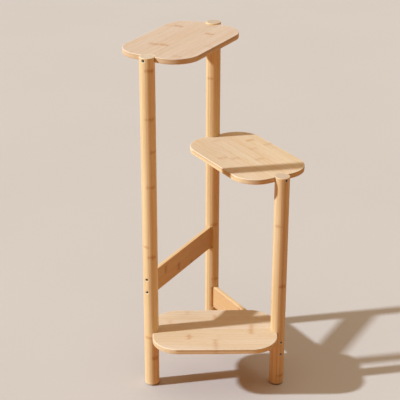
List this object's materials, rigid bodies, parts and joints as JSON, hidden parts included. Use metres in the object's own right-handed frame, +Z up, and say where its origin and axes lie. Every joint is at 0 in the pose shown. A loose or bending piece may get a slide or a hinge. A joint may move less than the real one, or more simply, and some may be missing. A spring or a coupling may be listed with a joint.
{
  "type": "tiered plant stand",
  "caption": "Tiered plant stand: rounded bamboo shelves stepping up round upright posts, tied by flat braces, screwed through the posts.",
  "frame": {"origin": "on the floor, at the middle of the stand's plan", "axes": "+Z up; +X along the front of the stand from the tall front post to the short one; +Y from the front towards the rear post"},
  "size_m": [0.3822, 0.3462, 0.765],
  "materials": {
    "post_bamboo": "laminated bamboo turned round, satin clear lacquer, warm honey with darker growth nodes",
    "shelf_bamboo": "laminated bamboo board with strips along its length, satin clear lacquer, pale cream",
    "brace_bamboo": "laminated bamboo board on edge, satin clear lacquer",
    "screw_steel": "zinc-plated steel, hexagon socket",
    "foot_pad": "dark brown-black self-adhesive pad, matte"
  },
  "bodies": {
    "root": {"post_front_tall": "post_bamboo", "post_rear_tall": "post_bamboo", "post_front_short": "post_bamboo", "shelf_top": "shelf_bamboo", "shelf_middle": "shelf_bamboo", "shelf_bottom": "shelf_bamboo", "brace_upper": "brace_bamboo", "brace_lower": "brace_bamboo", "screw_shelf_top_front_tall": "screw_steel", "screw_shelf_top_rear_tall": "screw_steel", "screw_shelf_middle_rear_tall": "screw_steel", "screw_shelf_middle_front_short": "screw_steel", "screw_shelf_bottom_front_tall": "screw_steel", "screw_shelf_bottom_front_short": "screw_steel", "screw_brace_upper_front_tall_upper": "screw_steel", "screw_brace_upper_front_tall_lower": "screw_steel", "screw_brace_upper_rear_tall_upper": "screw_steel", "screw_brace_upper_rear_tall_lower": "screw_steel", "screw_brace_lower_rear_tall_upper": "screw_steel", "screw_brace_lower_rear_tall_lower": "screw_steel", "screw_brace_lower_front_short_upper": "screw_steel", "screw_brace_lower_front_short_lower": "screw_steel", "foot_pad_front_tall": "foot_pad", "foot_pad_rear_tall": "foot_pad", "foot_pad_front_short": "foot_pad"}
  },
  "joints": []
}
